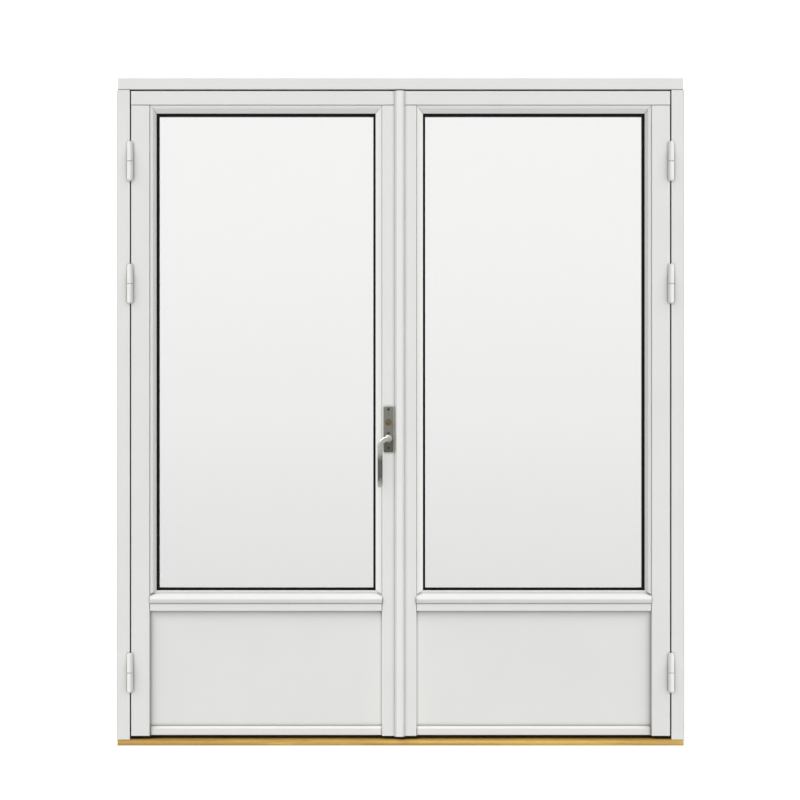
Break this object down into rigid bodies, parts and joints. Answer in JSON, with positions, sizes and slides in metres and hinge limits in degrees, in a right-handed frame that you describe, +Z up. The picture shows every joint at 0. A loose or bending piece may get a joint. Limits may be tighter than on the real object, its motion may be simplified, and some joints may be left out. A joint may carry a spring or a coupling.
{
  "type": "french doors",
  "caption": "Painted timber glazed double door in its own frame: outward-opening leaves with solid lower panels, meeting moulding, lever handle and oak threshold.",
  "frame": {"origin": "middle of the threshold's base, halfway through the depth of the frame", "axes": "+X to the right seen from the hinge side, +Y inwards from the hinge side to the room, +Z up"},
  "size_m": [1.69, 0.145, 1.99],
  "materials": {
    "paint": "timber under satin white paint",
    "panel_paint": "flat board under satin white paint",
    "oak": "oiled oak",
    "rubber": "black weather seal",
    "spacer_black": "matt black warm-edge spacer",
    "hinge_paint": "white powder coat",
    "steel": "zinc plated",
    "satin": "satin nickel",
    "brass": "satin brass",
    "glass": "clear double glazing"
  },
  "bodies": {
    "frame": {"frame_head": "paint", "frame_jamb_left": "paint", "frame_jamb_right": "paint", "threshold": "oak", "frame_seal": "rubber", "frame_screws": "steel", "fixing_sleeves": "steel", "head_keep": "steel", "threshold_keep": "steel", "hinge_pins": "steel", "left_frame_hinges": "hinge_paint", "right_frame_hinges": "hinge_paint"},
    "left_leaf": {"left_leaf_hinges": "hinge_paint", "left_hinge_stile": "paint", "left_meeting_stile": "paint", "left_top_rail": "paint", "left_mid_rail": "paint", "left_bottom_rail": "paint", "left_lower_panel": "panel_paint", "left_outer_pane": "glass", "left_inner_pane": "glass", "left_spacer": "spacer_black", "left_gaskets": "rubber", "left_bead_top": "paint", "left_bead_hinge_side": "paint", "left_bead_meeting_side": "paint", "left_drip_bead": "paint", "astragal": "paint", "faceplate": "steel", "gear_case": "steel", "handle_plate": "satin", "handle_screws": "satin", "lock_cylinder": "satin"},
    "right_leaf": {"right_leaf_hinges": "hinge_paint", "right_hinge_stile": "paint", "right_meeting_stile": "paint", "right_top_rail": "paint", "right_mid_rail": "paint", "right_bottom_rail": "paint", "right_lower_panel": "panel_paint", "right_outer_pane": "glass", "right_inner_pane": "glass", "right_spacer": "spacer_black", "right_gaskets": "rubber", "right_bead_top": "paint", "right_bead_hinge_side": "paint", "right_bead_meeting_side": "paint", "right_drip_bead": "paint", "rear_lip": "paint", "meeting_seal": "rubber", "flush_bolt_cases": "steel"},
    "handle": {"handle_grip": "satin", "spindle": "steel", "drive_gear": "brass"},
    "key_plug": {"lock_plug": "brass"},
    "upper_rod": {"upper_drive_rod": "steel"},
    "lower_rod": {"lower_drive_rod": "steel"},
    "upper_bolt": {"upper_flush_bolt": "steel"},
    "lower_bolt": {"lower_flush_bolt": "steel"}
  },
  "joints": [
    {"name": "left_leaf_swing", "type": "hinge", "parent": "frame", "child": "left_leaf", "pos_m": [-0.8055, -0.062, 0.975], "axis": [0, 0, -1], "range_deg": [0, 170]},
    {"name": "right_leaf_swing", "type": "hinge", "parent": "frame", "child": "right_leaf", "pos_m": [0.8055, -0.062, 0.975], "axis": [0, 0, 1], "range_deg": [0, 150]},
    {"name": "handle_turn", "type": "hinge", "parent": "left_leaf", "child": "handle", "pos_m": [-0.0359, -0.057, 0.915], "axis": [0, 1, 0], "range_deg": [0, 90]},
    {"name": "upper_rod_slide", "type": "slide", "parent": "left_leaf", "child": "upper_rod", "axis": [0, 0, 1], "range_m": [0, 0.01601]},
    {"name": "lower_rod_slide", "type": "slide", "parent": "left_leaf", "child": "lower_rod", "axis": [0, 0, -1], "range_m": [0, 0.01601]},
    {"name": "lock_plug_turn", "type": "hinge", "parent": "left_leaf", "child": "key_plug", "pos_m": [-0.0359, -0.05, 0.9636], "axis": [0, 1, 0], "range_deg": [0, 90]},
    {"name": "upper_bolt_slide", "type": "slide", "parent": "right_leaf", "child": "upper_bolt", "axis": [0, 0, 1], "range_m": [0, 0.016]},
    {"name": "lower_bolt_slide", "type": "slide", "parent": "right_leaf", "child": "lower_bolt", "axis": [0, 0, -1], "range_m": [0, 0.016]}
  ],
  "couplings": [
    {"joint": "right_leaf_swing", "follows": "left_leaf_swing", "ratio": 0.8823},
    {"joint": "upper_rod_slide", "follows": "handle_turn", "m_per_rad": 0.010186},
    {"joint": "lower_rod_slide", "follows": "handle_turn", "m_per_rad": 0.010186}
  ]
}
